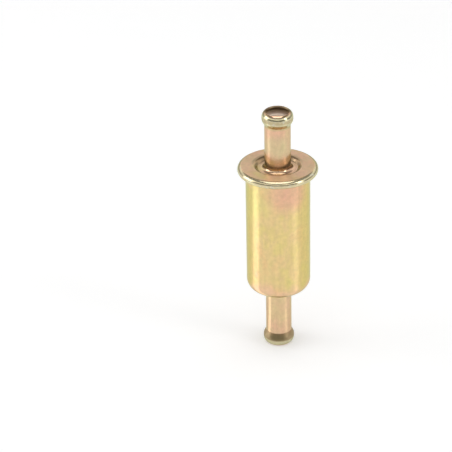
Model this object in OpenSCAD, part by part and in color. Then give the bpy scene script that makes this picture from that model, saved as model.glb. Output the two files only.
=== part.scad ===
// In-line fuel filter: a crimped can of plated sheet steel with a beaded hose neck at each end,
// round a pleated paper element that a small spring holds down on its seal.
// Frame: Z along the filter from the outlet mouth (z = 0, low end) to the inlet mouth, in millimetres.

/* [Lengths along the axis] */
// Outlet mouth to the can's end wall
outlet_len = 19.4; // [12:0.1:40]
// Can's end wall to the cover's flat face
body_len = 42.1; // [30:0.1:120]
// Cover's flat face to the inlet mouth
inlet_len = 17.9; // [12:0.1:40]

/* [Sheet metal shells] */
// Thickness of the can and of the cover
sheet = 0.55; // [0.4:0.01:0.7]
// Outside diameter of the can
can_d = 19.6; // [17:0.1:30]
// Inside bend radius where the can's wall meets its end wall, or less where the seal needs the room
corner_bend = 3.0; // [1:0.05:4]
// Outside fillet radius at the foot of each neck
foot_bend = 1.2; // [0.6:0.05:1.5]
// Outside fillet radius between the can's wall and its flange
flange_bend = 0.45; // [0.2:0.05:0.6]

/* [Hose necks] */
// Outside diameter of both necks
neck_d = 7.94; // [7:0.01:9]
// Widest diameter of the hose bead
bead_d = 9.5; // [9.2:0.1:11]
// Inside diameter of the mouth
mouth_d = 6.8; // [6.6:0.05:7.4]
// Mouth to the end of the bead
bead_len = 4.2; // [4.1:0.1:6]
// Slope of the sheet where it curls in to its sheared edge round the mouth
nose_slope = 26; // [20:1:35]
// Mouth to the corner where the bead starts to narrow, before it is rounded
bead_back = 2.8; // [2.7:0.05:3.1]
// Inside bend radius over the bead
bead_bend = 1.4; // [0.8:0.1:1.8]
// Outside fillet radius between the bead and its neck
heel_bend = 0.4; // [0.2:0.05:0.8]

/* [Crimped rim] */
// How far the rim stands out from the can's wall
rim_reach = 2.4; // [2.15:0.05:5]
// Inside bend radius at the rim's upper edge
rim_bend = 0.75; // [0.5:0.05:0.8]
// Squeezed thickness of the rim gasket
gasket_t = 0.65; // [0.55:0.05:1]
// Width of the rim gasket
gasket_w = 0.55; // [0.4:0.05:0.8]
// How far the rolled edge turns in under the flange
curl_reach = 1.75; // [1.5:0.05:1.8]
// Radial clearance between the flange and the rolled edge round it
crimp_gap = 0.1; // [0.05:0.05:0.2]

/* [Cover dish] */
// Diameter of the dish at the cover's flat face
dish_d = 14.3; // [13.8:0.1:15.5]
// Diameter of the dish floor
dish_floor_d = 12.4; // [12.2:0.1:12.8]
// Depth of the dish
dish_depth = 1.0; // [0.6:0.05:1.4]
// Inside bend radius at both edges of the dish
dish_bend = 0.5; // [0.3:0.05:0.6]

/* [Filter element] */
// Number of pleats
pleats = 20; // [12:1:20]
// Radial clearance between the pleats and the end caps' rims
pleat_gap = 0.3; // [0.1:0.05:1]
// Radial clearance between the pleats and the centre tube
pleat_tube_gap = 0.4; // [0.3:0.05:0.7]
// Thickness of the paper
paper = 0.35; // [0.25:0.01:0.35]
// Width between the paper's faces in an inside fold
fold_inner_gap = 0.2; // [0.1:0.05:0.3]
// Width over one fold at the outside
fold_d = 1.0; // [0.9:0.05:1.1]
// Thickness of the end caps
cap_sheet = 0.4; // [0.3:0.05:0.6]
// Radial clearance between the end caps and the can
cap_gap = 0.95; // [0.7:0.05:1.2]
// Height of the end caps' rims
cap_rim = 3.0; // [2:0.1:4]
// Inside bend radius of the end caps' corners
cap_bend = 0.5; // [0.3:0.05:0.8]
// Thickness of the adhesive in each cap
potting_t = 1.4; // [1:0.1:2]
// How deep the paper's ends sit in the adhesive
potting_bite = 0.9; // [0.4:0.1:0.9]
// Thickness of the seam clip
clip_t = 0.3; // [0.2:0.05:0.35]
// How far the seam clip reaches down the fold
clip_reach = 2.0; // [1:0.1:2.2]

/* [Centre tube] */
// Outside diameter of the centre tube
tube_d = 6.6; // [6:0.1:7]
// Wall of the centre tube
tube_wall = 0.4; // [0.3:0.05:0.5]
// Diameter of its holes
tube_hole_d = 1.5; // [1:0.1:2]
// Holes in one row round the tube
tube_hole_count = 6; // [4:1:7]
// Distance between rows of holes
tube_row_pitch = 3.2; // [2.4:0.1:5]

/* [Seal and spring] */
// Thickness of the outlet seal
seal_t = 1.2; // [0.8:0.1:2]
// Width of the outlet seal
seal_w = 0.75; // [0.5:0.05:0.8]
// Clearance from the seal to the bends on both sides of it
seal_gap = 0.15; // [0.05:0.05:0.3]
// Fitted length of the spring
spring_len = 5.0; // [4.6:0.1:8]
// Wire diameter of the spring
wire_d = 0.7; // [0.5:0.05:0.75]
// Mean diameter of the spring's coils
coil_d = 11.0; // [10.9:0.1:11.2]
// Turns that lie closed at each end
closed_turns = 1; // [0.75:0.25:1]
// Clearance between the closed turns
turn_gap = 0.015; // [0.01:0.005:0.05]
// Turns between the closed ends
free_turns = 2.5; // [2:0.5:2.5]
// Height of the boss on the closed cap that centres the spring
boss_h = 0.8; // [0.4:0.1:1]
// Radial clearance between the boss and the spring
boss_gap = 0.3; // [0.2:0.05:0.5]

/* [Hidden] */
$fn = 96;
// Largest angle of one step along a bend, and steps round an edge of the sheet
bend_step = 7.5;
edge_steps = 8;

zinc_colour = [0.80, 0.68, 0.40];
rubber_colour = [0.12, 0.12, 0.12];
paper_colour = [0.85, 0.74, 0.50];
tin_colour = [0.72, 0.72, 0.70];
glue_colour = [0.55, 0.20, 0.12];

// Heights of the shells' faces and of the middle of their sheet
overall_len = outlet_len + body_len + inlet_len;
face_z = outlet_len + body_len;
end_wall_mid_z = outlet_len + sheet / 2;
face_mid_z = face_z - sheet / 2;
gasket_z = face_z - sheet - gasket_t;
flange_mid_z = gasket_z - sheet / 2;
curl_mid_z = flange_mid_z - sheet;
dish_mid_z = face_mid_z - dish_depth;

// Radii of the middle of the sheet
rim_d = can_d + 2 * rim_reach;
neck_mid_r = (neck_d - sheet) / 2;
mouth_mid_r = (mouth_d + sheet * sin(nose_slope)) / 2;
bead_mid_r = (bead_d - sheet) / 2;
can_mid_r = (can_d - sheet) / 2;
rim_mid_r = (rim_d - sheet) / 2;

// The bead curls in to the mouth in one bend, which is limited by the room between mouth and bead
nose_depth = sheet / 2 * cos(nose_slope);
nose_rise = (bead_mid_r - mouth_mid_r) * tan(nose_slope);
nose_room = (bead_mid_r - mouth_mid_r) / cos(nose_slope) / tan((90 - nose_slope) / 2);
nose_bend = min(bead_bend, nose_room - sheet / 2);

// The rim's lower bend takes the height that the gasket, the flange and the upper bend leave it
rim_straight = 0.05;
rim_low_bend = gasket_t + sheet - rim_straight - rim_bend;
flange_edge_r = rim_mid_r - rim_bend - sheet / 2 - crimp_gap;

// Heights of what stands in the can, from the floor up and from the cover down
floor_z = outlet_len + sheet;
open_cap_z = floor_z + seal_t;
lower_inner_z = open_cap_z + cap_sheet;
closed_cap_z = dish_mid_z - sheet / 2 - spring_len;
upper_inner_z = closed_cap_z - cap_sheet;
paper_low_z = lower_inner_z + potting_t - potting_bite;
paper_high_z = upper_inner_z - potting_t + potting_bite;

// The seal lies on the flat part of the can's floor, outside the foot bend and inside the corner bend
seal_inner_r = neck_d / 2 + foot_bend + seal_gap;
seal_outer_r = seal_inner_r + seal_w;
corner_r = min(corner_bend, can_mid_r - sheet / 2 - seal_outer_r - seal_gap);

// The end caps clear the can, and the pleats clear the end caps and the centre tube
cap_mid_r = can_mid_r - sheet / 2 - cap_gap - cap_sheet / 2;
pleat_r = cap_mid_r - cap_sheet / 2 - pleat_gap;
pleat_hole_r = tube_d / 2 + pleat_tube_gap;

boss_foot_r = (coil_d - wire_d) / 2 - boss_gap;
boss_top_r = boss_foot_r - boss_h;
boss_bend = 0.3;

// ---------------------------------------------------------------- bent sheet profiles
// A path is a list of [radius, height, inside bend radius] corners along the middle of the sheet.

function unit(v) = v / norm(v);
function left_of(v) = [-v.y, v.x];
function turned(v, angle) = [v.x * cos(angle) - v.y * sin(angle), v.x * sin(angle) + v.y * cos(angle)];
function at(path, i) = [path[i].x, path[i].y];
function heading(path, i) = unit(at(path, i + 1) - at(path, i));
function reversed(points) = [for (i = [len(points) - 1 : -1 : 0]) points[i]];

// Points of one bend on the side of the sheet that lies side_t to the left of its middle
function bend(corner, inside_r, t, before, after, side_t) =
    let (angle = atan2(cross(before, after), before * after),
         hand = sign(angle),
         mid_r = inside_r + t / 2,
         centre = corner - before * mid_r * tan(abs(angle) / 2) + left_of(before) * hand * mid_r,
         steps = ceil(abs(angle) / bend_step))
    [for (k = [0 : steps])
        centre - turned(left_of(before), angle * k / steps) * (hand * mid_r - side_t)];

// The whole side of a sheet, from its first end to its last
function sheet_side(path, t, side_t) =
    let (last = len(path) - 1)
    [at(path, 0) + left_of(heading(path, 0)) * side_t,
     for (i = [1 : last - 1])
        each bend(at(path, i), path[i].z, t, heading(path, i - 1), heading(path, i), side_t),
     at(path, last) + left_of(heading(path, last - 1)) * side_t];

// Half round edge of a sheet, without its two end points, turning left from the angle given
function round_edge(centre, direction, t, from) =
    [for (k = [1 : edge_steps - 1]) centre + turned(direction, from + k * 180 / edge_steps) * t / 2];

// Outline of a bent sheet, with a round edge at its end and a round or a square sheared edge at its start
function sheet_outline(path, t, square_start) =
    let (last = len(path) - 1)
    concat(sheet_side(path, t, -t / 2),
           round_edge(at(path, last), heading(path, last - 1), t, -90),
           reversed(sheet_side(path, t, t / 2)),
           square_start ? [] : round_edge(at(path, 0), heading(path, 0), t, 90));

module turned_sheet(path, t, square_start = true) {
    rotate_extrude() polygon(sheet_outline(path, t, square_start));
}

module ring(inner_r, outer_r, low_z, high_z) {
    translate([0, 0, low_z]) linear_extrude(high_z - low_z) difference() {
        circle(outer_r);
        circle(inner_r);
    }
}

// Mouth, bead and start of a hose neck; inward is 1 when the neck runs up from its mouth and -1 when down
function neck_path(mouth_z, inward) = [
    [mouth_mid_r, mouth_z + inward * nose_depth, 0],
    [bead_mid_r, mouth_z + inward * (nose_depth + nose_rise), nose_bend],
    [bead_mid_r, mouth_z + inward * bead_back, bead_bend],
    [neck_mid_r, mouth_z + inward * bead_len, heel_bend]];

// ---------------------------------------------------------------- shells

module outlet_can() {
    path = concat(neck_path(0, 1), [
        [neck_mid_r, end_wall_mid_z, foot_bend],
        [can_mid_r, end_wall_mid_z, corner_r],
        [can_mid_r, flange_mid_z, flange_bend],
        [flange_edge_r - sheet / 2, flange_mid_z, 0]]);
    color(zinc_colour) turned_sheet(path, sheet);
}

module inlet_cover() {
    path = concat(neck_path(overall_len, -1), [
        [neck_mid_r, dish_mid_z, foot_bend],
        [dish_floor_d / 2, dish_mid_z, dish_bend],
        [dish_d / 2, face_mid_z, dish_bend],
        [rim_mid_r, face_mid_z, rim_bend],
        [rim_mid_r, curl_mid_z, rim_low_bend],
        [rim_d / 2 - curl_reach, curl_mid_z, 0]]);
    color(zinc_colour) turned_sheet(path, sheet);
}

module rim_gasket() {
    color(rubber_colour)
        ring(flange_edge_r - gasket_w, flange_edge_r, gasket_z, gasket_z + gasket_t);
}

// ---------------------------------------------------------------- pleated paper

// A point at radius r along the direction angle, and side to the left of it
function beside(r, side, angle) = turned([r, side], angle);

fold_gap = fold_d / 2 - paper;
inner_fold = 2 * paper + fold_inner_gap;
half_pitch = 180 / pleats;

// Outside and inside faces of the folded paper, as closed loops
pleat_outside = [for (k = [0 : pleats - 1]) each [
    beside(pleat_r, -fold_d / 2, 2 * k * half_pitch),
    beside(pleat_r, fold_d / 2, 2 * k * half_pitch),
    beside(pleat_hole_r + paper, paper - inner_fold / 2, (2 * k + 1) * half_pitch),
    beside(pleat_hole_r + paper, inner_fold / 2 - paper, (2 * k + 1) * half_pitch)]];
pleat_inside = [for (k = [0 : pleats - 1]) each [
    beside(pleat_r - paper, -fold_gap, 2 * k * half_pitch),
    beside(pleat_r - paper, fold_gap, 2 * k * half_pitch),
    beside(pleat_hole_r, -inner_fold / 2, (2 * k + 1) * half_pitch),
    beside(pleat_hole_r, inner_fold / 2, (2 * k + 1) * half_pitch)]];

module folded_paper() {
    translate([0, 0, paper_low_z]) linear_extrude(paper_high_z - paper_low_z) difference() {
        polygon(pleat_outside);
        polygon(pleat_inside);
    }
}

module filter_paper() {
    color(paper_colour) folded_paper();
}

// The clip grips the outside fold that lies along +X: its outline runs up the fold's far flank, over
// the fold and down the near flank, then back along the clip's own outside
module pleat_seam_clip() {
    fold_edge = pleat_outside[1];
    foot = fold_edge + unit(pleat_outside[2] - fold_edge) * clip_reach;
    inside = [[foot.x, -foot.y], [fold_edge.x, -fold_edge.y], fold_edge, foot];
    outside = [[foot.x, foot.y + clip_t], fold_edge + [clip_t, clip_t],
        [fold_edge.x + clip_t, -fold_edge.y - clip_t], [foot.x, -foot.y - clip_t]];
    color(tin_colour)
        translate([0, 0, lower_inner_z + potting_t])
            linear_extrude(upper_inner_z - lower_inner_z - 2 * potting_t)
                polygon(concat(inside, outside));
}

// ---------------------------------------------------------------- end caps and adhesive

open_cap_path = [
    [tube_d / 2 - tube_wall, open_cap_z + cap_sheet / 2, 0],
    [cap_mid_r, open_cap_z + cap_sheet / 2, cap_bend],
    [cap_mid_r, open_cap_z + cap_rim, 0]];

closed_cap_path = [
    [0, closed_cap_z - cap_sheet / 2 + boss_h, 0],
    [boss_top_r, closed_cap_z - cap_sheet / 2 + boss_h, boss_bend],
    [boss_foot_r, closed_cap_z - cap_sheet / 2, boss_bend],
    [cap_mid_r, closed_cap_z - cap_sheet / 2, cap_bend],
    [cap_mid_r, closed_cap_z - cap_rim, 0]];

module open_end_cap() {
    color(tin_colour) turned_sheet(open_cap_path, cap_sheet, square_start = false);
}

module closed_end_cap() {
    color(tin_colour) turned_sheet(closed_cap_path, cap_sheet);
}

// Adhesive fills a cap up to surface_z, round the centre tube and the paper's ends
module potting(cap_side, surface_z) {
    last = len(cap_side) - 1;
    level = [for (i = [0 : last - 1]) cap_side[i]];
    color(glue_colour) difference() {
        rotate_extrude() polygon(concat(level, [[cap_side[last].x, surface_z], [cap_side[0].x, surface_z]]));
        translate([0, 0, lower_inner_z]) cylinder(h = upper_inner_z - lower_inner_z, d = tube_d);
        folded_paper();
    }
}

module lower_potting() {
    potting(sheet_side(open_cap_path, cap_sheet, cap_sheet / 2), lower_inner_z + potting_t);
}

module upper_potting() {
    potting(sheet_side(closed_cap_path, cap_sheet, -cap_sheet / 2), upper_inner_z - potting_t);
}

// ---------------------------------------------------------------- centre tube, seal and spring

module centre_tube() {
    free_len = upper_inner_z - lower_inner_z - 2 * potting_t;
    rows = floor((free_len - tube_hole_d) / tube_row_pitch) + 1;
    first_z = lower_inner_z + potting_t + (free_len - (rows - 1) * tube_row_pitch) / 2;
    color(tin_colour) difference() {
        ring(tube_d / 2 - tube_wall, tube_d / 2, lower_inner_z, upper_inner_z);
        for (row = [0 : rows - 1], k = [0 : tube_hole_count - 1])
            translate([0, 0, first_z + row * tube_row_pitch])
                rotate([0, 90, (k + (row % 2) / 2) * 360 / tube_hole_count])
                    translate([0, 0, tube_d / 2 - 2 * tube_wall])
                        cylinder(h = 3 * tube_wall, d = tube_hole_d);
    }
}

module outlet_seal() {
    color(rubber_colour) ring(seal_inner_r, seal_outer_r, floor_z, open_cap_z);
}

// Height of the spring's wire above its lowest point, after a number of turns
spring_turns = 2 * closed_turns + free_turns;
spring_rise = spring_len - wire_d;
closed_rise = closed_turns * (wire_d + turn_gap);
function wire_rise(turns) =
    turns < closed_turns ? closed_rise * turns / closed_turns :
    turns > spring_turns - closed_turns ? spring_rise - closed_rise * (spring_turns - turns) / closed_turns :
    closed_rise + (spring_rise - 2 * closed_rise) * (turns - closed_turns) / free_turns;

module preload_spring() {
    sides = 8;
    steps_per_turn = 20;
    steps = round(spring_turns * steps_per_turn);
    points = [for (i = [0 : steps], k = [0 : sides - 1])
        let (turns = i / steps_per_turn,
             r = coil_d / 2 + wire_d / 2 * cos(k * 360 / sides),
             z = wire_rise(turns) + wire_d / 2 * (1 + sin(k * 360 / sides)))
        [r * cos(turns * 360), r * sin(turns * 360), closed_cap_z + z]];
    skin = [for (i = [0 : steps - 1], k = [0 : sides - 1])
        let (next = (k + 1) % sides)
        [i * sides + k, i * sides + next, (i + 1) * sides + next, (i + 1) * sides + k]];
    first_end = [for (k = [sides - 1 : -1 : 0]) k];
    last_end = [for (k = [0 : sides - 1]) steps * sides + k];
    color(tin_colour) polyhedron(points, concat(skin, [first_end, last_end]), convexity = 6);
}

outlet_can();
inlet_cover();
rim_gasket();
filter_paper();
pleat_seam_clip();
centre_tube();
closed_end_cap();
open_end_cap();
upper_potting();
lower_potting();
outlet_seal();
preload_spring();
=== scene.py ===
"""The looks of the in-line fuel filter: plated shells, and the pieces that stand inside them."""
import math

import bpy
from mathutils import Matrix, Vector
from mathutils.bvhtree import BVHTree


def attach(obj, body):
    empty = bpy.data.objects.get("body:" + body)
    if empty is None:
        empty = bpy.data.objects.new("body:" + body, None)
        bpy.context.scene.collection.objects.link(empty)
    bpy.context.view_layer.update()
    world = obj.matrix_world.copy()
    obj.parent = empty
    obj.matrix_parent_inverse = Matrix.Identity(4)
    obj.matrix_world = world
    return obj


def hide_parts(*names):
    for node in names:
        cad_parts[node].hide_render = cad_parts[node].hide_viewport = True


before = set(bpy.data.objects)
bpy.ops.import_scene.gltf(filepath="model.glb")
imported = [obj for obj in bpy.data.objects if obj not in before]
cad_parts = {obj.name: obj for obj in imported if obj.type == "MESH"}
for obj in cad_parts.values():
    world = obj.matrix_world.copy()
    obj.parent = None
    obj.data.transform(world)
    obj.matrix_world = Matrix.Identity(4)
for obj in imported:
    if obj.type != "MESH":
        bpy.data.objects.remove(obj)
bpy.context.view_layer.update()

# ---------------------------------------------------------------- the photograph's frame
IMAGE_W, IMAGE_H = 452, 452
POINTS = {
    "object_left_x": 237.2,
    "object_right_x": 318.2,
    "object_top_y": 105.6,
    "object_bottom_y": 345.8,
    "axis_middle": (278.26, 238.3),
    "top_bead_left": (261.2, 116.5),
    "top_bead_right": (293.3, 116.5),
    "rim_left": (237.2, 168.6),
    "rim_right": (318.2, 168.4),
    "rim_front_low": (277.8, 188.8),
    "can_right_low": (310.2, 275.0),
    "lower_bead_right": (294.5, 334.0),
}

# ---------------------------------------------------------------- camera
MM = 0.001
CAMERA_DISTANCE = 672.9 * MM              # to the middle of the filter
CAMERA_DOWN = math.radians(28.65)
CAMERA_ROLL = math.radians(1.16)
CLIP_START = 10 * MM
SENSOR = 36.0
LENS = 175.1
FOCAL = LENS / SENSOR * max(IMAGE_W, IMAGE_H)   # the lens in pixels
AXIS_MIDDLE = Vector((0, 0, 36.2 * MM))   # the point of the filter that shows at POINTS["axis_middle"]


def add_object(name, data):
    """A new object in the scene."""
    added = bpy.data.objects.new(name, data)
    bpy.context.scene.collection.objects.link(added)
    return added


def make_camera():
    """Looks down at the filter, rolled by a degree, with its middle where the photograph has it."""
    data = bpy.data.cameras.new("camera")
    data.lens = LENS
    data.sensor_width = SENSOR
    data.sensor_fit = "AUTO"
    data.clip_start = CLIP_START
    camera = add_object("camera", data)
    right, up = Vector((1, 0, 0)), Vector((0, math.sin(CAMERA_DOWN), math.cos(CAMERA_DOWN)))
    roll = Matrix.Rotation(-CAMERA_ROLL, 3, right.cross(up))
    right, up = roll @ right, roll @ up
    back = right.cross(up)
    x, y = POINTS["axis_middle"]
    aside = right * (x - IMAGE_W / 2) + up * (IMAGE_H / 2 - y)
    to_middle = aside * CAMERA_DISTANCE / FOCAL - back * CAMERA_DISTANCE
    matrix = Matrix((right, up, back)).transposed().to_4x4()
    matrix.translation = AXIS_MIDDLE - to_middle
    camera.matrix_world = matrix
    bpy.context.scene.camera = camera
    return camera


camera = make_camera()

# ---------------------------------------------------------------- shells' profile, in the CAD's millimetres
SHEET = 0.55
OUTLET_LEN, BODY_LEN, INLET_LEN = 19.4, 42.1, 17.9
OVERALL = OUTLET_LEN + BODY_LEN + INLET_LEN
CAN_D, CORNER_BEND, FOOT_BEND, FLANGE_BEND = 19.6, 3.0, 1.2, 0.45
NECK_D, BEAD_D, MOUTH_D = 7.94, 9.5, 6.8
BEAD_LEN, BEAD_BACK, BEAD_BEND, HEEL_BEND = 4.2, 2.8, 1.4, 0.4
NOSE_SLOPE = math.radians(26)
RIM_REACH, RIM_BEND, GASKET, CURL_REACH, CRIMP_GAP = 2.4, 0.75, 0.65, 1.75, 0.1
RIM_D = CAN_D + 2 * RIM_REACH
RIM_STRAIGHT = 0.05
DISH_D, DISH_FLOOR_D, DISH_DEPTH, DISH_BEND = 14.3, 12.4, 1.0, 0.5
EDGE_BREAK = 0.08     # corner radius of the sheared edge round a mouth

FACE = OUTLET_LEN + BODY_LEN
FACE_MID = FACE - SHEET / 2
END_MID = OUTLET_LEN + SHEET / 2
FLANGE_MID = FACE - SHEET - GASKET - SHEET / 2
CURL_MID = FLANGE_MID - SHEET
DISH_MID = FACE_MID - DISH_DEPTH
NECK_R, CAN_R, RIM_R, BEAD_R = ((d - SHEET) / 2 for d in (NECK_D, CAN_D, RIM_D, BEAD_D))
MOUTH_R = (MOUTH_D + SHEET * math.sin(NOSE_SLOPE)) / 2
NOSE_DEPTH = SHEET / 2 * math.cos(NOSE_SLOPE)
NOSE_RISE = (BEAD_R - MOUTH_R) * math.tan(NOSE_SLOPE)
NOSE_ROOM = (BEAD_R - MOUTH_R) / math.cos(NOSE_SLOPE) / math.tan((math.pi / 2 - NOSE_SLOPE) / 2)
NOSE_BEND = min(BEAD_BEND, NOSE_ROOM - SHEET / 2)
RIM_LOW_BEND = GASKET + SHEET - RIM_STRAIGHT - RIM_BEND
FLANGE_EDGE = RIM_R - RIM_BEND - SHEET / 2 - CRIMP_GAP

TURN_STEPS = 216      # faces round a shell
BEND_STEP = math.radians(4)
EDGE_STEP = 15        # degrees
SPACING = 0.6         # longest step along a straight stretch


def neck_path(mouth, inward):
    """The middle of a neck's sheet from its mouth to the bead's heel, as radius, height and inside bend."""
    return [
        (MOUTH_R, mouth + inward * NOSE_DEPTH, 0),
        (BEAD_R, mouth + inward * (NOSE_DEPTH + NOSE_RISE), NOSE_BEND),
        (BEAD_R, mouth + inward * BEAD_BACK, BEAD_BEND),
        (NECK_R, mouth + inward * BEAD_LEN, HEEL_BEND),
    ]


CAN_PATH = neck_path(0, 1) + [
    (NECK_R, END_MID, FOOT_BEND),
    (CAN_R, END_MID, CORNER_BEND),
    (CAN_R, FLANGE_MID, FLANGE_BEND),
    (FLANGE_EDGE - SHEET / 2, FLANGE_MID, 0),
]
COVER_PATH = neck_path(OVERALL, -1) + [
    (NECK_R, DISH_MID, FOOT_BEND),
    (DISH_FLOOR_D / 2, DISH_MID, DISH_BEND),
    (DISH_D / 2, FACE_MID, DISH_BEND),
    (RIM_R, FACE_MID, RIM_BEND),
    (RIM_R, CURL_MID, RIM_LOW_BEND),
    (RIM_D / 2 - CURL_REACH, CURL_MID, 0),
]


def left_of(v):
    return Vector((-v.y, v.x))


def turned(v, angle):
    sine, cosine = math.sin(angle), math.cos(angle)
    return Vector((v.x * cosine - v.y * sine, v.x * sine + v.y * cosine))


def sheet_side(path, side):
    """One side of a bent sheet: arcs at the corners, and evenly stepped straight stretches between them."""
    at = [Vector(p[:2]) for p in path]
    headings = [(b - a).normalized() for a, b in zip(at, at[1:])]
    stretches = [[at[0] + left_of(headings[0]) * side]]
    for i in range(1, len(path) - 1):
        before, after = headings[i - 1], headings[i]
        angle = math.atan2(before.x * after.y - before.y * after.x, before.dot(after))
        hand = math.copysign(1, angle)
        radius = path[i][2] + SHEET / 2
        centre = at[i] - before * radius * math.tan(abs(angle) / 2) + left_of(before) * hand * radius
        steps = math.ceil(abs(angle) / BEND_STEP)
        stretches.append([centre - turned(left_of(before), angle * k / steps) * (hand * radius - side)
                          for k in range(steps + 1)])
    stretches.append([at[-1] + left_of(headings[-1]) * side])
    points = []
    for before, after in zip(stretches, stretches[1:]):
        points += before
        start, end = before[-1], after[0]
        count = max(1, math.ceil((end - start).length / SPACING))
        points += [start.lerp(end, k / count) for k in range(1, count)]
    return points + stretches[-1]


def edge(end, heading, start_angle, corner):
    """The edge of a sheet past end, with both its corners rounded, turning left from start_angle."""
    across = turned(heading, start_angle) * (SHEET / 2 - corner)
    corners = ((end + across, range(EDGE_STEP, 91, EDGE_STEP)), (end - across, range(90, 180, EDGE_STEP)))
    return [centre + turned(heading, start_angle + math.radians(degrees)) * corner
            for centre, turns in corners for degrees in turns]


def sheet_outline(path):
    """A bent sheet's outline: the edge at its start has small round corners, the one at its end is round."""
    at = [Vector(p[:2]) for p in path]
    first, last = (at[1] - at[0]).normalized(), (at[-1] - at[-2]).normalized()
    start = at[0] + first * EDGE_BREAK
    path = [(start.x, start.y, 0)] + path[1:]
    return (sheet_side(path, -SHEET / 2) + edge(at[-1], last, -math.pi / 2, SHEET / 2)
            + sheet_side(path, SHEET / 2)[::-1] + edge(start, first, math.pi / 2, EDGE_BREAK))


def turn_shell(name, path):
    """A shell turned from its sheet's outline, as one closed mesh."""
    outline = sheet_outline(path)
    angles = [2 * math.pi * k / TURN_STEPS for k in range(TURN_STEPS)]
    verts = [(p.x * MM * math.cos(a), p.x * MM * math.sin(a), p.y * MM) for a in angles for p in outline]
    n = len(outline)
    faces = []
    for k in range(TURN_STEPS):
        here, following = k * n, (k + 1) % TURN_STEPS * n
        faces += [(here + i, following + i, following + (i + 1) % n, here + (i + 1) % n) for i in range(n)]
    mesh = bpy.data.meshes.new(name)
    mesh.from_pydata(verts, [], faces)
    mesh.validate()
    mesh.shade_smooth()
    return add_object(name, mesh)


can = turn_shell("can_shell", CAN_PATH)
cover = turn_shell("cover_shell", COVER_PATH)
for piece, node in ((can, "outlet_can"), (cover, "inlet_cover")):
    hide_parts(node)
    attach(piece, "root")


# ---------------------------------------------------------------- node trees
def rgba(tone):
    """A colour or a grey level, with its alpha."""
    return (*tone, 1) if isinstance(tone, tuple) else (tone, tone, tone, 1)


class Nodes:
    """A node tree. Inputs take a number, a colour or another node's output."""

    def __init__(self, tree):
        self.tree = tree

    def put(self, node, key, value):
        socket = node.inputs[key]
        if isinstance(value, bpy.types.NodeSocket):
            self.tree.links.new(value, socket)
        else:
            socket.default_value = value

    def add(self, kind, inputs=None, output=0, **settings):
        node = self.tree.nodes.new("ShaderNode" + kind)
        for key, value in settings.items():
            setattr(node, key, value)
        for key, value in (inputs or {}).items():
            self.put(node, key, value)
        return node.outputs[output]

    def math(self, operation, *values, clamp=False):
        return self.add("Math", dict(enumerate(values)), operation=operation, use_clamp=clamp)

    def plus(self, first, *others):
        for other in others:
            first = self.math("ADD", first, other)
        return first

    def times(self, first, *others):
        for other in others:
            first = self.math("MULTIPLY", first, other)
        return first

    def part(self, vector, axis):
        return self.add("SeparateXYZ", {0: vector}, output=axis)

    def ramp(self, value, stops):
        """A colour ramp over stops of position and tone."""
        node = self.tree.nodes.new("ShaderNodeValToRGB")
        self.put(node, "Fac", value)
        elements = node.color_ramp.elements
        for element, (position, tone) in zip(elements, (stops[0], stops[-1])):
            element.position, element.color = position, rgba(tone)
        for position, tone in stops[1:-1]:
            elements.new(position).color = rgba(tone)
        return node.outputs["Color"]

    def mix(self, amount, a, b, blend="MIX"):
        a, b = (rgba(tone) if isinstance(tone, tuple) else tone for tone in (a, b))
        return self.add("Mix", {0: amount, 6: a, 7: b}, output=2, data_type="RGBA", blend_type=blend)


# ---------------------------------------------------------------- materials
PATCH_CORE = 0.3


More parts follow.
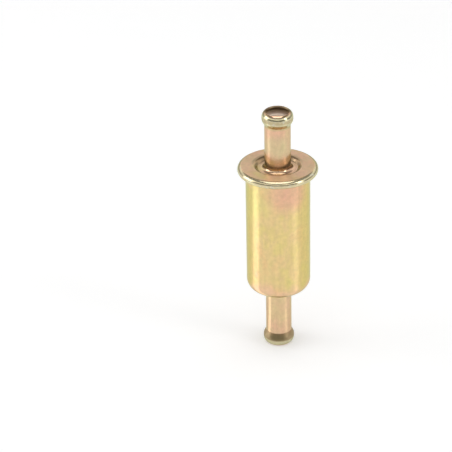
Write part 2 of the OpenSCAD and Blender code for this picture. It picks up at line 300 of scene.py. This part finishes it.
class Material(Nodes):
    """A material whose nodes work in the object's own frame, in millimetres."""

    def __init__(self, name, colour, roughness, **constants):
        self.material = bpy.data.materials.new(name)
        self.material.use_nodes = True
        super().__init__(self.material.node_tree)
        self.shader = self.tree.nodes["Principled BSDF"]
        self.put(self.shader, "Base Color", rgba(colour))
        self.put(self.shader, "Roughness", roughness)
        for key, value in constants.items():
            self.put(self.shader, key.replace("_", " "), value)
        place = self.add("TexCoord", output="Object")
        self.mm = self.add("VectorMath", {"Vector": place, "Scale": 1 / MM}, operation="SCALE")

    def stretched(self, *scale):
        return self.add("VectorMath", {0: self.mm, 1: scale}, operation="MULTIPLY")

    def dot(self, a, b):
        return self.add("VectorMath", {0: a, 1: b}, output="Value", operation="DOT_PRODUCT")

    def off_axis(self):
        """How far each place is from the filter's axis."""
        return self.add("VectorMath", {0: self.stretched(1, 1, 0)}, output="Value", operation="LENGTH")

    def noise(self, size, detail=2.0, roughness=0.5, distortion=0.0, vector=None, seed=0.0):
        """Noise whose patches are about size millimetres across. The seed only shifts its pattern."""
        place = self.mm if vector is None else vector
        if seed:
            place = self.add("VectorMath", {0: place, 1: (seed, 2.7 * seed, -1.3 * seed)}, operation="ADD")
        return self.add("TexNoise", {"Vector": place, "Scale": 1 / size, "Detail": detail,
                                     "Roughness": roughness, "Distortion": distortion})

    def ranged(self, value, low, high, to_low=0.0, to_high=1.0):
        """A smooth step: to_low where the value is low or less, to_high where it is high or more."""
        return self.add("MapRange", {"Value": value, "From Min": low, "From Max": high,
                                     "To Min": to_low, "To Max": to_high}, interpolation_type="SMOOTHSTEP")

    def fading(self, value, full, gone):
        """One where the value is full or less, nothing where it is gone or more."""
        return self.ranged(value, full, gone, 1.0, 0.0)

    def between(self, value, low, low_full, high_full, high):
        """One from low_full to high_full, fading to nothing at low and high."""
        return self.times(self.ranged(value, low, low_full), self.fading(value, high_full, high))

    def outside(self, mask):
        """What is left of one."""
        return self.math("SUBTRACT", 1.0, mask)

    def near(self, place, reach):
        """A round patch about a place, full to PATCH_CORE of its reach and fading out beyond."""
        away = self.add("VectorMath", {0: self.mm, 1: place}, output="Value", operation="DISTANCE")
        return self.fading(away, PATCH_CORE * reach, reach)

    def tinted(self, colour, *tints):
        """The colour with tints laid over it in turn, each a mask, its strength and its tone."""
        for mask, strength, tone in tints:
            colour = self.mix(self.times(mask, strength), colour, tone)
        return colour

    def bump(self, height, depth, under=None):
        """Bump of depth millimetres over the height's range of one."""
        inputs = {"Height": height, "Distance": depth * MM, "Strength": 1.0}
        if under is not None:
            inputs["Normal"] = under
        return self.add("Bump", inputs)


class ZincPlate(Material):
    """Yellow zinc plate. Its masks go by height along the filter's axis and by distance from it."""

    # how far into the blotches, then the golden, the pinkish and the tan tone there
    TONES = (
        (0.30, (0.66, 0.57, 0.22), (0.72, 0.54, 0.31), (0.66, 0.53, 0.28)),
        (0.42, (0.73, 0.58, 0.24), (0.76, 0.52, 0.32), (0.69, 0.50, 0.29)),
        (0.50, (0.74, 0.56, 0.27), (0.80, 0.51, 0.33), (0.71, 0.48, 0.30)),
        (0.58, (0.76, 0.53, 0.26), (0.82, 0.50, 0.34), (0.73, 0.46, 0.30)),
        (0.70, (0.76, 0.47, 0.30), (0.83, 0.47, 0.37), (0.74, 0.43, 0.32)),
    )

    def __init__(self):
        super().__init__("zinc_plate", (0.72, 0.55, 0.27), 0.2, Metallic=1.0, Anisotropic=0.3,
                         Anisotropic_Rotation=0.25, Specular_Tint=(0.72, 0.78, 0.62, 1), Coat_Weight=0.12,
                         Coat_Roughness=0.1)
        self.put(self.shader, "Tangent", self.add("Tangent", direction_type="RADIAL", axis="Z"))
        self.radius = self.off_axis()
        self.sideways, self.backward, self.height = (self.part(self.mm, axis) for axis in "XYZ")
        self.place_masks()
        colour = self.shaded(self.with_patches_wear_and_painted_light(self.base_colour()))
        self.put(self.shader, "Base Color", colour)
        self.put_gloss()
        waves = self.bump(self.noise(7, detail=1.0, seed=1.9), 0.02)
        marks = self.noise(1, detail=2, vector=self.stretched(0.05, 0.05, 5.0))
        self.put(self.shader, "Normal", self.bump(marks, 0.002, under=waves))

    def place_masks(self):
        """Where the shells' regions lie, which the colour and the gloss go by."""
        height, radius = self.height, self.radius
        at_ends = self.outside(self.between(height, 4.5, 5.3, 74.1, 74.9))
        self.on_beads = self.times(self.ranged(radius, 4.0, 4.4), at_ends)
        self.rolled = self.math("MAXIMUM", self.ranged(radius, 11.0, 11.6), self.on_beads)
        # a band round the lower bead: painted shade in its colour, and a duller gloss
        self.lower_bead_shade = self.between(height, 1.7, 2.3, 4.1, 4.6)
        worn = self.ranged(self.noise(1.3, detail=4, roughness=0.65, seed=9.4), 0.54, 0.66)
        self.rubbed = self.times(self.rolled, worn, self.outside(self.lower_bead_shade))
        self.dish_wall = self.times(self.between(radius, 5.7, 6.2, 7.1, 7.7), self.ranged(height, 59.9, 60.2))
        face = self.times(self.between(radius, 4.6, 5.6, 10.8, 11.3), self.ranged(height, 59.8, 60.2))
        self.on_face = self.math("SUBTRACT", face, self.dish_wall, clamp=True)
        normal = self.add("NewGeometry", output="Normal")
        facing = self.dot(normal, self.stretched(1, 1, 0))
        self.inside = self.times(self.fading(facing, -1.5, -0.3), self.fading(radius, 4.8, 5.4))

    def base_colour(self):
        """Golden on the can, pinkish on the cover, tan on the necks, all in soft blotches."""
        height, radius = self.height, self.radius
        large = self.noise(11, roughness=0.45, distortion=0.25, vector=self.stretched(1, 1, 0.7))
        small = self.noise(3.2, vector=self.stretched(1, 1, 0.6), seed=2.3)
        blotches = self.add("Mix", {0: 0.42, 2: large, 3: small})
        golden, pinkish, tan = (self.ramp(blotches, [(row[0], row[column]) for row in self.TONES])
                                for column in (1, 2, 3))
        sides = self.plus(self.ranged(self.sideways, 4.0, 8.0), self.fading(self.sideways, -9.5, -6.0))
        golden = self.tinted(golden, (sides, 0.5, (0.68, 0.56, 0.16)))
        neck_front = self.near((0, -4, 69), 5.5)
        tan = self.tinted(tan, (neck_front, 0.5, (0.60, 0.55, 0.30)))
        pinkish = self.mix(self.ranged(radius, 4.3, 5.4), tan, pinkish)
        foot = self.times(self.ranged(radius, 3.8, 3.95), self.between(height, 61.6, 62.6, 64.4, 65.8))
        foot_shade = self.between(height, 61.4, 61.9, 62.9, 63.5)
        pinkish = self.tinted(pinkish, (foot, 0.5, (0.70, 0.57, 0.40)),
                              (foot_shade, 0.55, (0.30, 0.27, 0.25)))
        wander = self.ranged(self.noise(12, seed=5.3), 0.3, 0.7, -4, 4)
        on_can = self.between(self.plus(height, wander), 18, 23, 58, 63)
        return self.mix(on_can, pinkish, golden)

    def with_patches_wear_and_painted_light(self, colour):
        """The colour with its large patches, the pale rolled edges and the rubbed specks; painted shade on
        the beads, the lips, the dish wall, behind the neck and under the top bead; painted light on the
        cover's front, the can's lower corner and the bore's heel.
        """
        height, radius, backward = self.height, self.radius, self.backward
        pink_patch = self.near((3.0, -9.8, 56.5), 9)
        green_patch = self.near((-8.5, -5.0, 52.0), 9)
        pale = self.mix(self.on_beads, (0.64, 0.58, 0.37), (0.60, 0.58, 0.36))
        # painted shade: a dark band round the lower bead and a fainter ring on the top bead
        bead_shade = self.plus(self.lower_bead_shade, self.times(self.between(height, 76.6, 77.1, 77.6, 78.1), 0.5))
        # painted shade: a darker spot on the front of the lower bead
        bead_front_shade = self.times(self.near((-0.4, -4.4, 3.4), 3.8), self.between(height, 1.9, 2.5, 4.1, 4.5))
        # painted shade on the mouths' lips, darkest at the back
        mouth_edge = self.math("SUBTRACT", radius, self.ranged(backward, 0.0, 3.0))
        back_lip_shade = self.times(self.outside(self.between(height, 0.9, 1.4, 77.7, 78.2)),
                          self.fading(mouth_edge, 3.8, 4.3), self.ranged(backward, -3.5, 0.5))
        # painted shade: dark streaks behind the neck, on and beside the dish wall
        left_dish_shade = self.near((-5.6, 4.4, 61), 5.0)
        right_dish_shade = self.times(self.near((5.4, 4.4, 61), 4.4), 0.6)
        streaks = self.times(self.math("MAXIMUM", left_dish_shade, right_dish_shade),
                             self.between(radius, 5.8, 6.3, 7.7, 8.4))
        # painted light: the cover's face lighter in front of the neck
        face_front_light = self.times(self.near((0.0, -9.3, 61.5), 5.0), self.ranged(height, 61.2, 61.4))
        # painted shade just under the top bead
        under_bead_shade = self.between(height, 74.4, 75.0, 75.4, 75.7)
        # painted light: a paler band round the can's lower corner
        can_corner_light = self.times(self.ranged(radius, 5.5, 7.0), self.fading(height, 19.9, 20.9))
        # painted light inside the top bore, above the bead's heel
        bore_heel_light = self.times(self.inside, self.between(height, 75.7, 76.4, 76.9, 78.1))
        return self.tinted(
            colour,
            (pink_patch, 0.6, (0.74, 0.40, 0.31)),
            (green_patch, 0.5, (0.68, 0.62, 0.22)),
            (self.rolled, 0.85, pale),
            (bead_shade, 0.8, (0.34, 0.22, 0.11)),
            (bead_front_shade, 0.6, (0.11, 0.09, 0.03)),
            (back_lip_shade, 0.85, (0.24, 0.17, 0.10)),
            # painted shade on the dish wall
            (self.dish_wall, 0.5, (0.40, 0.28, 0.16)),
            (streaks, 0.55, (0.24, 0.16, 0.07)),
            (face_front_light, 0.4, (0.96, 0.66, 0.50)),
            (under_bead_shade, 0.5, (0.46, 0.44, 0.18)),
            (can_corner_light, 0.7, (0.78, 0.77, 0.52)),
            (self.rubbed, 0.6, (0.72, 0.71, 0.62)),
            (bore_heel_light, 1.0, (1.0, 0.86, 0.74)),
        )

    def shaded(self, colour):
        """The colour with a fine mottle and faint streaks along the axis."""
        mottle = self.ranged(self.noise(1.2, detail=4, roughness=0.6, seed=3.1), 0.25, 0.75, 0.94, 1.05)
        streaks = self.noise(1.0, detail=3, roughness=0.55, vector=self.stretched(1.2, 1.2, 0.12), seed=4.4)
        level = self.times(mottle, self.ranged(streaks, 0.25, 0.75, 0.96, 1.03))
        return self.mix(1.0, colour, self.add("CombineColor", {0: level, 1: level, 2: level}), "MULTIPLY")

    def put_gloss(self):
        """Bright rolled edges and can, a duller cover and bores, and a dull band round the lower bead."""
        dull = self.plus(
            self.times(self.inside, 0.2),
            self.times(self.on_face, 0.35),
            self.times(self.lower_bead_shade, 0.4),
        )
        roughness = self.plus(
            self.ranged(self.noise(5, detail=3, seed=7.7), 0.3, 0.7, 0.16, 0.24),
            self.times(self.on_face, 0.22),
            self.times(self.rubbed, 0.08),
            self.times(self.lower_bead_shade, 0.25),
            self.times(self.inside, 0.2),
        )
        self.put(self.shader, "Metallic", self.outside(dull))
        self.put(self.shader, "Roughness", roughness)


def rubber():
    """Black moulded fuel-resistant rubber, matt, with a faint grey bloom and fine grain."""
    black = Material("black_rubber", (0.04, 0.04, 0.042), 0.6, Specular_IOR_Level=0.45)
    bloom = black.ranged(black.noise(3, detail=4, seed=1.3), 0.35, 0.75)
    rough = black.ranged(black.noise(1.5, detail=3, seed=4.1), 0.3, 0.7, 0.5, 0.72)
    black.put(black.shader, "Base Color", black.mix(bloom, (0.032, 0.032, 0.034), (0.065, 0.065, 0.068)))
    black.put(black.shader, "Roughness", rough)
    black.put(black.shader, "Normal", black.bump(black.noise(0.25, detail=3), 0.012))
    return black.material


def filter_paper():
    """Resin-treated filter paper: pale amber, cloudy where the resin lies thicker, with a fibrous surface."""
    paper = Material("filter_paper", (0.80, 0.66, 0.40), 0.85, Specular_IOR_Level=0.3, Sheen_Weight=0.15)
    cloud = paper.ranged(paper.noise(2.5, detail=4, roughness=0.6), 0.3, 0.7)
    fibres = paper.noise(0.5, detail=5, roughness=0.7, distortion=1.5, vector=paper.stretched(1, 1, 0.35),
                         seed=6.2)
    colour = paper.mix(cloud, (0.74, 0.58, 0.33), (0.84, 0.72, 0.47))
    colour = paper.mix(paper.ranged(fibres, 0.55, 0.75, 0.0, 0.35), colour, (0.93, 0.86, 0.66))
    waves = paper.bump(paper.noise(3, seed=2.2), 0.05)
    paper.put(paper.shader, "Base Color", colour)
    paper.put(paper.shader, "Roughness", paper.ranged(cloud, 0.0, 1.0, 0.92, 0.74))
    paper.put(paper.shader, "Normal", paper.bump(fibres, 0.02, under=waves))
    return paper.material


def tin_plate():
    """Tinned sheet steel: satin, with a faint crystal pattern and fine rolling lines."""
    tin = Material("tinned_steel", (0.70, 0.70, 0.68), 0.35, Metallic=1.0)
    crystals = tin.add("TexVoronoi", {"Vector": tin.mm, "Scale": 0.6, "Randomness": 1.0}, output="Color")
    crystals = tin.add("SeparateColor", {0: crystals})
    tone = tin.mix(crystals, (0.66, 0.66, 0.645), (0.745, 0.745, 0.72))
    haze = tin.ranged(tin.noise(4, detail=4, roughness=0.6, seed=8.8), 0.45, 0.75)
    rough = tin.plus(tin.ranged(crystals, 0.0, 1.0, 0.26, 0.36), tin.times(haze, 0.12))
    lines = tin.noise(0.3, vector=tin.stretched(0.05, 1, 1))
    waves = tin.bump(tin.noise(3, detail=1, seed=3.3), 0.012)
    tin.put(tin.shader, "Base Color", tin.mix(haze, tone, (0.60, 0.59, 0.56)))
    tin.put(tin.shader, "Roughness", rough)
    tin.put(tin.shader, "Normal", tin.bump(lines, 0.003, under=waves))
    return tin.material


def spring_wire():
    """Drawn spring wire: grey and bright, with draw marks along the coil and a light oil tone."""
    wire = Material("spring_wire", (0.45, 0.45, 0.46), 0.3, Metallic=1.0)
    tone = wire.ranged(wire.noise(2, detail=4, seed=5.9), 0.3, 0.7)
    rough = wire.ranged(wire.noise(0.8, detail=3, seed=1.7), 0.3, 0.7, 0.22, 0.4)
    marks = wire.noise(0.2, vector=wire.stretched(0.3, 0.3, 3))
    wire.put(wire.shader, "Base Color", wire.mix(tone, (0.38, 0.375, 0.37), (0.52, 0.52, 0.535)))
    wire.put(wire.shader, "Roughness", rough)
    wire.put(wire.shader, "Normal", wire.bump(marks, 0.003))
    return wire.material


def plastisol():
    """Cured red-brown adhesive: a slightly glossy skin with soft flow marks and pin holes."""
    glue = Material("plastisol", (0.50, 0.17, 0.10), 0.4, Specular_IOR_Level=0.5)
    tone = glue.ranged(glue.noise(2.5, detail=4, seed=7.1), 0.3, 0.7)
    rough = glue.ranged(glue.noise(1.2, detail=3, seed=2.6), 0.3, 0.7, 0.3, 0.5)
    flow = glue.bump(glue.noise(1.8, distortion=0.6), 0.04)
    cells = glue.add("TexVoronoi", {"Vector": glue.mm, "Scale": 1.6}, output="Distance")
    holes = glue.ranged(cells, 0.05, 0.16)
    glue.put(glue.shader, "Base Color", glue.mix(tone, (0.43, 0.13, 0.075), (0.56, 0.20, 0.12)))
    glue.put(glue.shader, "Roughness", rough)
    glue.put(glue.shader, "Normal", glue.bump(holes, 0.03, under=flow))
    return glue.material


zinc = ZincPlate().material
for piece in (can, cover):
    piece.data.materials.append(zinc)
hidden_pieces = (
    (rubber(), ("rim_gasket", "outlet_seal")),
    (filter_paper(), ("filter_paper",)),
    (tin_plate(), ("pleat_seam_clip", "centre_tube", "closed_end_cap", "open_end_cap")),
    (spring_wire(), ("preload_spring",)),
    (plastisol(), ("upper_potting", "lower_potting")),
)
for material, nodes in hidden_pieces:
    for node in nodes:
        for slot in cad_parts[node].material_slots:
            slot.material = material

# ---------------------------------------------------------------- floor, world and lamps
# the room's brightness by the upward part of a direction: 0 is level or lower, 1 is straight up
WALL_BEFORE = [(0.0, 0.30), (0.10, 0.12), (0.34, 0.20), (0.44, 1.3), (0.62, 1.3), (0.72, 0.2), (1.0, 0.3)]
WALL_BEHIND = [(0.0, 0.45), (0.28, 0.55), (0.38, 1.1), (0.54, 1.1), (0.61, 0.35), (1.0, 0.3)]
WALL_TURN = (-0.25, 0.35)     # the backward part of a direction, where one wall gives way to the other
FLOOR_REACH = 3.0             # metres each way
FLOOR_GLOW = 0.30             # makes the pale floor white to the camera
PANEL_START = 8               # millimetres from the filter's axis, as each panel's reach is
PANEL_RISE = 0.2 * MM
PANEL_STEPS = 12
PANEL_FADE = 0.4              # the part of its reach at which a panel begins to fade
PANEL_SIDES = (0.2, 0.48)     # the parts of its width at which it fades sideways, from its middle
LAMP_DISTANCE = 1.0
LAMP_AIM = Vector((0, 0, 40 * MM))


def floor_white():
    """A pale floor that the camera and the metal see as white, with the shadow kept."""
    white = Material("floor_white", (0.8, 0.8, 0.8), 0.9, Specular_IOR_Level=0.0)
    path = white.tree.nodes.new("ShaderNodeLightPath")
    seen = white.math("ADD", white.plus(path.outputs["Is Camera Ray"], path.outputs["Is Glossy Ray"]),
                      path.outputs["Is Transmission Ray"], clamp=True)
    white.put(white.shader, "Emission Color", (1, 1, 1, 1))
    white.put(white.shader, "Emission Strength", white.times(seen, FLOOR_GLOW))
    return white.material


def make_floor():
    mesh = bpy.data.meshes.new("floor")
    corners = [(x * FLOOR_REACH, y * FLOOR_REACH, 0) for x, y in ((-1, -1), (1, -1), (1, 1), (-1, 1))]
    mesh.from_pydata(corners, [], [(0, 1, 2, 3)])
    mesh.materials.append(floor_white())
    floor = add_object("floor", mesh)


def soft_world():
    """A pale room: bright bands of light behind the filter and above the camera, dim walls between them."""
    world = bpy.data.worlds.new("studio")
    bpy.context.scene.world = world
    world.use_nodes = True
    room = Nodes(world.node_tree)
    direction = room.add("TexCoord", output="Generated")
    before, behind = (room.ramp(room.part(direction, "Z"), stops) for stops in (WALL_BEFORE, WALL_BEHIND))
    side = room.add("MapRange", {"Value": room.part(direction, "Y"), "From Min": WALL_TURN[0],
                                 "From Max": WALL_TURN[1]})
    room.put(room.tree.nodes["Background"], "Color", room.mix(side, before, behind))


def floor_glow(name, azimuth, width, reach, brightness):
    """A low light panel on the floor, a wedge that narrows towards the filter and fades at its far end."""
    start, end = math.radians(azimuth - width / 2), math.radians(azimuth + width / 2)
    middle, wide = (start + end) / 2, end - start
    angles = [start + wide * k / PANEL_STEPS for k in range(PANEL_STEPS + 1)]
    verts = [(r * MM * math.sin(a), -r * MM * math.cos(a), PANEL_RISE)
             for a in angles for r in (PANEL_START, reach)]
    mesh = bpy.data.meshes.new(name)
    mesh.from_pydata(verts, [], [(2 * k, 2 * k + 1, 2 * k + 3, 2 * k + 2) for k in range(PANEL_STEPS)])
    panel = add_object(name, mesh)
    glow = Material(name, (0, 0, 0), 1.0)
    away = glow.off_axis()
    faded = glow.ranged(away, PANEL_FADE * reach, reach, brightness, 0.0)
    aside = glow.dot(glow.mm, (math.cos(middle), math.sin(middle), 0))
    across = glow.math("ABSOLUTE", glow.math("DIVIDE", aside, away))
    upper_side = glow.outside(glow.add("NewGeometry", output="Backfacing"))
    strength = glow.times(upper_side, faded, glow.fading(across, *(part * wide for part in PANEL_SIDES)))
    light = glow.add("Emission", {"Strength": strength})
    both = glow.add("AddShader", {0: light, 1: glow.add("BsdfTransparent")})
    glow.put(glow.tree.nodes["Material Output"], "Surface", both)
    mesh.materials.append(glow.material)
    panel.visible_camera = False
    panel.visible_shadow = False


def soft_lamp(name, azimuth, elevation, width, height, brightness):
    """A soft box that faces the filter. Azimuth is counted from the camera's side to its right."""
    data = bpy.data.lights.new(name, "AREA")
    data.shape, data.size, data.size_y = "RECTANGLE", width, height
    data.energy = brightness * math.pi * width * height
    lamp = add_object(name, data)
    a, e = math.radians(azimuth), math.radians(elevation)
    away = Vector((math.sin(a) * math.cos(e), -math.cos(a) * math.cos(e), math.sin(e)))
    lamp.location = LAMP_AIM + away * LAMP_DISTANCE
    lamp.rotation_euler = away.to_track_quat("Z", "Y").to_euler()
    lamp.visible_camera = False


make_floor()
soft_world()
soft_lamp("left_lamp", -93, 18, 0.60, 0.62, 2.1)
soft_lamp("right_lamp", 63, 21, 0.28, 0.72, 2.3)
soft_lamp("top_lamp", 0, 88, 0.75, 0.75, 1.8)
floor_glow("left_glow", -85, 38, 210, 0.60)
floor_glow("right_glow", 60, 28, 160, 0.25)
bpy.context.scene.view_settings.view_transform = "Standard"

# ---------------------------------------------------------------- where each of the points shows on the shells
EDGE_PIXELS = 0.2             # vertices this near the furthest one make an edge's point
ROW_PIXELS = 0.6              # vertices this near a point's row count for it
TOP_BEAD_FROM = 75 * MM
LOWER_BEAD_TO = 4.5 * MM
RIM_FROM = 11.4 * MM
SIGHT_SLACK = 0.4 * MM        # a vertex still shows with a surface this little in front of it
FACING_SLACK = 0.05           # and when it faces this little away


def image_point(place):
    """Where a place shows, in the photograph's frame."""
    local = camera.matrix_world.inverted() @ place
    return IMAGE_W / 2 - local.x * FOCAL / local.z, IMAGE_H / 2 + local.y * FOCAL / local.z


def shown_vertices():
    """The place and image point of every vertex of the shells that the camera sees."""
    graph = bpy.context.evaluated_depsgraph_get()
    trees = [BVHTree.FromObject(piece, graph) for piece in (can, cover)]
    eye = camera.matrix_world.translation
    shown = []
    for piece in (can, cover):
        for vertex in piece.evaluated_get(graph).data.vertices:
            away = vertex.co - eye
            distance = away.length
            if vertex.normal.dot(away) < FACING_SLACK * distance:
                hits = [tree.ray_cast(eye, away, distance)[3] for tree in trees]
                if all(hit is None or hit > distance - SIGHT_SLACK for hit in hits):
                    shown.append((vertex.co.copy(), image_point(vertex.co)))
    return shown


def write_points():
    shown = shown_vertices()

    def extreme(axis, side, keep=lambda place, at: True):
        """The middle of the shown vertices that lie furthest to one side of the image."""
        kept = [at for place, at in shown if keep(place, at)]
        furthest = max(side * at[axis] for at in kept)
        edge_points = [at for at in kept if side * at[axis] > furthest - EDGE_PIXELS]
        return tuple(sum(at[i] for at in edge_points) / len(edge_points) for i in (0, 1))

    def top_bead(place, at):
        return place.z > TOP_BEAD_FROM

    def lower_bead(place, at):
        return place.z < LOWER_BEAD_TO

    def rim(place, at):
        return place.xy.length > RIM_FROM

    def can_low(place, at):
        return abs(at[1] - POINTS["can_right_low"][1]) < ROW_PIXELS

    found = {
        "object_left_x": extreme(0, -1)[0],
        "object_right_x": extreme(0, 1)[0],
        "object_top_y": extreme(1, -1)[1],
        "object_bottom_y": extreme(1, 1)[1],
        "axis_middle": image_point(AXIS_MIDDLE),
        "top_bead_left": extreme(0, -1, top_bead),
        "top_bead_right": extreme(0, 1, top_bead),
        "rim_left": extreme(0, -1, rim),
        "rim_right": extreme(0, 1, rim),
        "rim_front_low": extreme(1, 1, rim),
        "can_right_low": extreme(0, 1, can_low),
        "lower_bead_right": extreme(0, 1, lower_bead),
    }


write_points()
